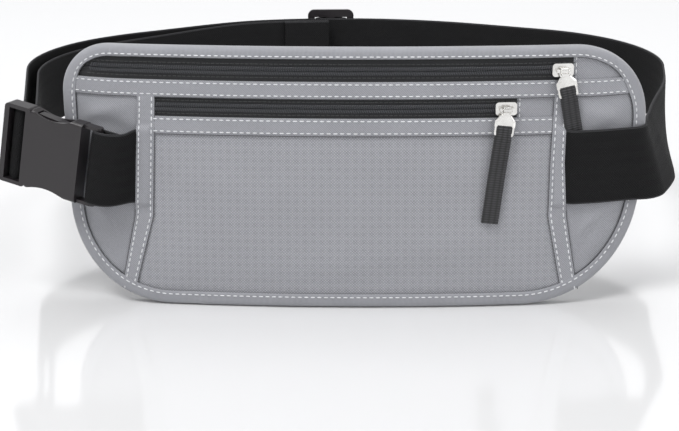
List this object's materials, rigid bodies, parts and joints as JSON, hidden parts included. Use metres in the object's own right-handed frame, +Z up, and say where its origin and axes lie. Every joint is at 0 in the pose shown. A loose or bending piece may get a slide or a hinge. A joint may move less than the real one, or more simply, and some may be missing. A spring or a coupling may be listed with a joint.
{
  "type": "money belt",
  "caption": "Slim waist pouch with two zipped pockets on a webbing loop, closed by a side-release buckle and sized by a sliding strap adjuster.",
  "frame": {"origin": "centre of the waist opening, level with the middle of the strap's width", "axes": "+X to the viewer's right along the pouch, +Y from the pouch to the back of the loop, +Z up"},
  "size_m": [0.3723, 0.2982, 0.1334],
  "materials": {
    "grey_twill": "matt polyester twill",
    "grey_ripstop": "matt checked dobby cloth",
    "grey_binding": "matt folded binding tape",
    "foil_lining": "thin metallised lining",
    "zip_tape": "woven zip tape",
    "zip_coil": "moulded nylon coil",
    "bright_nickel": "polished nickel plate",
    "pull_ribbon": "ribbed black ribbon",
    "black_webbing": "soft flat elastic webbing",
    "buckle_plastic": "satin moulded plastic"
  },
  "bodies": {
    "pouch": {"back_panel": "grey_twill", "rear_blocking_lining": "foil_lining", "pocket_divider": "grey_twill", "front_blocking_lining": "foil_lining", "front_panel": "grey_ripstop", "left_wing_panel": "grey_twill", "right_wing_panel": "grey_twill", "upper_zip_end_patch": "grey_twill", "lower_zip_end_patch": "grey_twill", "upper_band": "grey_twill", "lower_band": "grey_twill", "left_side_band": "grey_twill", "right_side_band": "grey_twill", "edge_binding": "grey_binding", "upper_zip_tape": "zip_tape", "lower_zip_tape": "zip_tape", "upper_zip_coil": "zip_coil", "lower_zip_coil": "zip_coil", "buckle_female": "buckle_plastic", "short_strap_fold": "black_webbing", "long_strap": "black_webbing", "strap_return": "black_webbing", "strap_lead_outer": "black_webbing", "strap_lead_inner": "black_webbing", "short_strap": "black_webbing"},
    "upper_slider": {"upper_slider_body": "bright_nickel", "upper_slider_bridge": "bright_nickel"},
    "upper_pull": {"upper_pull_tab": "bright_nickel", "upper_pull_tape": "pull_ribbon"},
    "lower_slider": {"lower_slider_body": "bright_nickel", "lower_slider_bridge": "bright_nickel"},
    "lower_pull": {"lower_pull_tab": "bright_nickel", "lower_pull_tape": "pull_ribbon"},
    "male_half": {"buckle_male": "buckle_plastic", "buckle_strap_fold": "black_webbing"},
    "latch_upper": {"latch_arm_upper": "buckle_plastic"},
    "latch_lower": {"latch_arm_lower": "buckle_plastic"},
    "adjuster": {"strap_adjuster": "buckle_plastic", "adjuster_strap_hump": "black_webbing", "strap_end_fold": "black_webbing"}
  },
  "joints": [
    {"name": "upper_zip_travel", "type": "hinge", "parent": "pouch", "child": "upper_slider", "pos_m": [0, 0.71, 0], "axis": [0, 0, 1], "range_deg": [-13.6, 0]},
    {"name": "upper_pull_swing", "type": "hinge", "parent": "upper_slider", "child": "upper_pull", "pos_m": [0.10283, -0.13819, 0.0495], "axis": [0.9927, 0.1204, 0], "range_deg": [-90, 0], "deforming": ["upper_pull_tape"]},
    {"name": "lower_zip_travel", "type": "hinge", "parent": "pouch", "child": "lower_slider", "pos_m": [0, 0.71, 0], "axis": [0, 0, 1], "range_deg": [-11, 0]},
    {"name": "lower_pull_swing", "type": "hinge", "parent": "lower_slider", "child": "lower_pull", "pos_m": [0.07529, -0.14108, 0.0307], "axis": [0.9961, 0.0881, 0], "range_deg": [-120, 0]},
    {"name": "buckle_release", "type": "slide", "parent": "pouch", "child": "male_half", "axis": [-0.9098, 0.3769, 0.1736], "range_m": [0, 0.034], "deforming": ["strap_lead_outer", "strap_lead_inner", "latch_arm_upper", "latch_arm_lower"]},
    {"name": "latch_upper_press", "type": "hinge", "parent": "male_half", "child": "latch_upper", "pos_m": [-0.15928, -0.12784, 0.02144], "axis": [0.3827, 0.9239, 0], "range_deg": [0, 8], "stiffness_Nm_per_rad": 0.05},
    {"name": "latch_lower_press", "type": "hinge", "parent": "male_half", "child": "latch_lower", "pos_m": [-0.16377, -0.12598, -0.00614], "axis": [0.3827, 0.9239, 0], "range_deg": [-8, 0], "stiffness_Nm_per_rad": 0.05},
    {"name": "adjuster_travel", "type": "hinge", "parent": "pouch", "child": "adjuster", "pos_m": [-0.006, -0.08156, 0.00143], "axis": [0, -0.0244, 0.9997], "range_deg": [-15, 15]}
  ]
}
